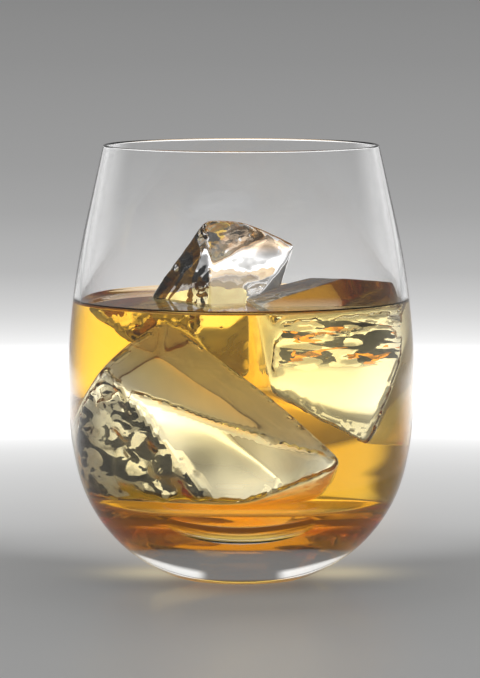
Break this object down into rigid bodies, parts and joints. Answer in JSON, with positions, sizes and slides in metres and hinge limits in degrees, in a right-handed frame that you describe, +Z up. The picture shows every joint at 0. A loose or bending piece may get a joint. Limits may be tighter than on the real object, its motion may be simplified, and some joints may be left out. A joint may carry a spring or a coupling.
{
  "type": "whisky on the rocks in a tumbler",
  "caption": "Rounded stemless glass tumbler with a thick base, holding golden whisky with large clear ice lumps that sink in it and stand out of it.",
  "frame": {"origin": "on the table under the middle of the foot", "axes": "+Z up along the tumbler's axis, front towards -Y, +X to the viewer's right"},
  "size_m": [0.088, 0.088, 0.11],
  "materials": {
    "glass": "clear, polished",
    "whisky": "clear golden liquid",
    "ice": "clear ice with rippled faces"
  },
  "bodies": {
    "root": {"glass": "glass", "whisky": "whisky", "ice_left": "ice", "ice_right": "ice", "ice_top": "ice"}
  },
  "joints": []
}
